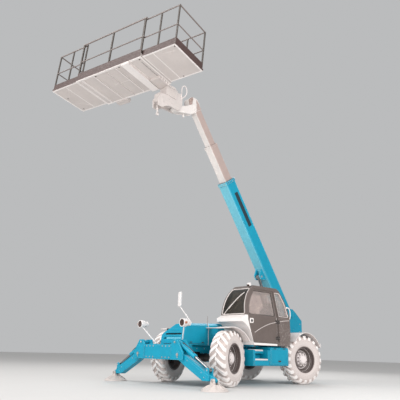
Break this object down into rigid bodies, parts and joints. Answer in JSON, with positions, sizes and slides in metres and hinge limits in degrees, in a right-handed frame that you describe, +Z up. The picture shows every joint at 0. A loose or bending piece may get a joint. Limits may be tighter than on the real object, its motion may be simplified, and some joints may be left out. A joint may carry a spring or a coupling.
{
  "type": "telescopic handler with work platform",
  "caption": "Telehandler with a side cab, steerable wheels, front stabilisers and a raised telescopic boom carrying a wide extendable railed work platform.",
  "frame": {"origin": "on the ground under the middle of the machine's box", "axes": "+X forward, +Y to the left (cab side), +Z up"},
  "size_m": [7.3806, 4.902, 8.6284],
  "materials": {
    "cyan_paint": "gloss",
    "pale_paint": "satin",
    "white_shell": "gloss",
    "taupe_panel": "satin",
    "rail_paint": "satin",
    "deck_metal": "satin",
    "glass_smoked": "smoked",
    "tyre_white": "matte",
    "rim_dark": "satin",
    "steel_dark": "matte",
    "engine_alloy": "cast",
    "guard_pale": "satin",
    "rod_chrome": "polished",
    "seat_cover": "woven",
    "interior_plastic": "grained",
    "lamp_shell": "gloss"
  },
  "bodies": {
    "chassis": {"boom_tower": "cyan_paint", "cab_frame": "taupe_panel", "cab_lower": "white_shell", "cab_roof": "white_shell", "cab_windows": "glass_smoked", "chassis_frame": "cyan_paint", "counterweight": "cyan_paint", "dashboard": "interior_plastic", "driveshafts": "steel_dark", "engine_block": "engine_alloy", "engine_tub": "cyan_paint", "front_axle": "steel_dark", "front_beam": "cyan_paint", "front_cover": "cyan_paint", "lamps": "lamp_shell", "mirror": "lamp_shell", "mudguards": "guard_pale", "rear_axle": "steel_dark", "seat": "seat_cover", "seat_base": "interior_plastic", "steering_column": "interior_plastic", "step_unit": "cyan_paint", "toolbox": "cyan_paint", "windscreen": "glass_smoked"},
    "wheel_front_left": {"tyre_front_left": "tyre_white", "rim_front_left": "rim_dark"},
    "knuckle_front_left": {"knuckle_front_left": "steel_dark"},
    "wheel_front_right": {"tyre_front_right": "tyre_white", "rim_front_right": "rim_dark"},
    "knuckle_front_right": {"knuckle_front_right": "steel_dark"},
    "wheel_rear_left": {"tyre_rear_left": "tyre_white", "rim_rear_left": "rim_dark"},
    "knuckle_rear_left": {"knuckle_rear_left": "steel_dark"},
    "wheel_rear_right": {"tyre_rear_right": "tyre_white", "rim_rear_right": "rim_dark"},
    "knuckle_rear_right": {"knuckle_rear_right": "steel_dark"},
    "boom_outer": {"boom_outer": "cyan_paint"},
    "boom_middle": {"boom_middle": "pale_paint"},
    "boom_inner": {"boom_inner": "pale_paint"},
    "lift_cylinder": {"lift_cylinder": "cyan_paint"},
    "lift_rod": {"lift_rod": "rod_chrome"},
    "carriage": {"carriage": "pale_paint"},
    "platform": {"platform_deck": "deck_metal", "platform_rails": "rail_paint"},
    "extension_left": {"extension_deck_left": "deck_metal", "extension_rails_left": "rail_paint"},
    "stabiliser_left": {"stabiliser_arm_left": "cyan_paint"},
    "pad_left": {"stabiliser_pad_left": "pale_paint"},
    "stabiliser_cylinder_left": {"stabiliser_cylinder_left": "cyan_paint"},
    "stabiliser_rod_left": {"stabiliser_rod_left": "rod_chrome"},
    "extension_right": {"extension_deck_right": "deck_metal", "extension_rails_right": "rail_paint"},
    "stabiliser_right": {"stabiliser_arm_right": "cyan_paint"},
    "pad_right": {"stabiliser_pad_right": "pale_paint"},
    "stabiliser_cylinder_right": {"stabiliser_cylinder_right": "cyan_paint"},
    "stabiliser_rod_right": {"stabiliser_rod_right": "rod_chrome"},
    "cab_door": {"cab_door": "taupe_panel", "door_glass": "glass_smoked"},
    "engine_hood": {"engine_hood": "cyan_paint"}
  },
  "joints": [
    {"name": "front_left_steer", "type": "hinge", "parent": "chassis", "child": "knuckle_front_left", "pos_m": [0.45972, 1.33604, 0.598], "axis": [0, 0, 1], "range_deg": [-53, 17]},
    {"name": "front_left_spin", "type": "hinge", "parent": "knuckle_front_left", "child": "wheel_front_left", "pos_m": [0.42186, 1.45254, 0.598], "axis": [-0.309, 0.9511, 0], "continuous": true},
    {"name": "front_right_steer", "type": "hinge", "parent": "chassis", "child": "knuckle_front_right", "pos_m": [0.45972, -0.38396, 0.598], "axis": [0, 0, 1], "range_deg": [-53, 17]},
    {"name": "front_right_spin", "type": "hinge", "parent": "knuckle_front_right", "child": "wheel_front_right", "pos_m": [0.49757, -0.50047, 0.598], "axis": [0.309, -0.9511, 0], "continuous": true},
    {"name": "rear_left_steer", "type": "hinge", "parent": "chassis", "child": "knuckle_rear_left", "pos_m": [-2.34528, 1.33604, 0.598], "axis": [0, 0, 1], "range_deg": [-22, 48]},
    {"name": "rear_left_spin", "type": "hinge", "parent": "knuckle_rear_left", "child": "wheel_rear_left", "pos_m": [-2.31773, 1.4554, 0.598], "axis": [0.225, 0.9744, 0], "continuous": true},
    {"name": "rear_right_steer", "type": "hinge", "parent": "chassis", "child": "knuckle_rear_right", "pos_m": [-2.34528, -0.38396, 0.598], "axis": [0, 0, 1], "range_deg": [-22, 48]},
    {"name": "rear_right_spin", "type": "hinge", "parent": "knuckle_rear_right", "child": "wheel_rear_right", "pos_m": [-2.37284, -0.50332, 0.598], "axis": [-0.225, -0.9744, 0], "continuous": true},
    {"name": "boom_lift", "type": "hinge", "parent": "chassis", "child": "boom_outer", "pos_m": [-2.96528, 0.47604, 1.8], "axis": [0, -1, 0], "range_deg": [-56, 14]},
    {"name": "telescope_middle", "type": "slide", "parent": "boom_outer", "child": "boom_middle", "axis": [-0.5821, 0, -0.8131], "range_m": [-2.2, 0.95]},
    {"name": "telescope_inner", "type": "slide", "parent": "boom_middle", "child": "boom_inner", "axis": [-0.5821, 0, -0.8131], "range_m": [-2.2, 0.95]},
    {"name": "carriage_level", "type": "hinge", "parent": "boom_inner", "child": "carriage", "pos_m": [1.47442, 0.47604, 6.79882], "axis": [0, -1, 0], "range_deg": [-14.5, 56.5]},
    {"name": "platform_slew", "type": "hinge", "parent": "carriage", "child": "platform", "pos_m": [1.66946, 0.47612, 7.28168], "axis": [-0.0775, 0, 0.997], "range_deg": [-102.8, 77.2]},
    {"name": "extension_left_slide", "type": "slide", "parent": "platform", "child": "extension_left", "axis": [0.2209, -0.9751, 0.0172], "range_m": [0, 0.95]},
    {"name": "extension_right_slide", "type": "slide", "parent": "platform", "child": "extension_right", "axis": [-0.2209, 0.9751, -0.0172], "range_m": [0, 0.95]},
    {"name": "lift_cylinder_hinge", "type": "hinge", "parent": "chassis", "child": "lift_cylinder", "pos_m": [-2.69528, 0.47604, 0.95], "axis": [0, -1, 0], "range_deg": [-43.34, 11.21]},
    {"name": "lift_rod_slide", "type": "slide", "parent": "lift_cylinder", "child": "lift_rod", "axis": [0.4213, 0, 0.9069], "range_m": [-0.76328, 0.19457]},
    {"name": "stabiliser_left_fold", "type": "hinge", "parent": "chassis", "child": "stabiliser_left", "pos_m": [1.54072, 1.17604, 0.65], "axis": [1, 0, 0], "range_deg": [0, 75]},
    {"name": "pad_left_tilt", "type": "hinge", "parent": "stabiliser_left", "child": "pad_left", "pos_m": [1.54072, 2.18304, 0.19], "axis": [1, 0, 0], "range_deg": [-20, 20]},
    {"name": "stabiliser_left_cylinder_hinge", "type": "hinge", "parent": "chassis", "child": "stabiliser_cylinder_left", "pos_m": [1.54072, 1.07604, 0.905], "axis": [1, 0, 0], "range_deg": [-0.5, 70.07]},
    {"name": "stabiliser_left_rod_slide", "type": "slide", "parent": "stabiliser_cylinder_left", "child": "stabiliser_rod_left", "axis": [0, 0.8766, -0.4812], "range_m": [-0.32689, 0.005]},
    {"name": "stabiliser_right_fold", "type": "hinge", "parent": "chassis", "child": "stabiliser_right", "pos_m": [1.54072, -0.22396, 0.65], "axis": [-1, 0, 0], "range_deg": [0, 75]},
    {"name": "pad_right_tilt", "type": "hinge", "parent": "stabiliser_right", "child": "pad_right", "pos_m": [1.54072, -1.23096, 0.19], "axis": [-1, 0, 0], "range_deg": [-20, 20]},
    {"name": "stabiliser_right_cylinder_hinge", "type": "hinge", "parent": "chassis", "child": "stabiliser_cylinder_right", "pos_m": [1.54072, -0.12396, 0.905], "axis": [-1, 0, 0], "range_deg": [-0.5, 70.07]},
    {"name": "stabiliser_right_rod_slide", "type": "slide", "parent": "stabiliser_cylinder_right", "child": "stabiliser_rod_right", "axis": [0, -0.8766, -0.4812], "range_m": [-0.32689, 0.005]},
    {"name": "cab_door_hinge", "type": "hinge", "parent": "chassis", "child": "cab_door", "pos_m": [-1.17928, 1.63604, 1.5], "axis": [0, 0, 1], "range_deg": [0, 85]},
    {"name": "engine_hood_hinge", "type": "hinge", "parent": "chassis", "child": "engine_hood", "pos_m": [-0.95528, 0.13104, 1.406], "axis": [-1, 0, 0], "range_deg": [0, 60]}
  ],
  "couplings": [
    {"joint": "front_right_steer", "follows": "front_left_steer", "ratio": 1},
    {"joint": "rear_right_steer", "follows": "rear_left_steer", "ratio": 1},
    {"joint": "telescope_inner", "follows": "telescope_middle", "ratio": 1},
    {"joint": "carriage_level", "follows": "boom_lift", "ratio": -1},
    {"joint": "lift_cylinder_hinge", "follows": "boom_lift", "ratio": 0.765},
    {"joint": "lift_rod_slide", "follows": "boom_lift", "m_per_rad": 0.77583},
    {"joint": "stabiliser_left_cylinder_hinge", "follows": "stabiliser_left_fold", "ratio": 0.92758},
    {"joint": "stabiliser_left_rod_slide", "follows": "stabiliser_left_fold", "m_per_rad": -0.2459},
    {"joint": "stabiliser_right_cylinder_hinge", "follows": "stabiliser_right_fold", "ratio": 0.92758},
    {"joint": "stabiliser_right_rod_slide", "follows": "stabiliser_right_fold", "m_per_rad": -0.2459}
  ]
}
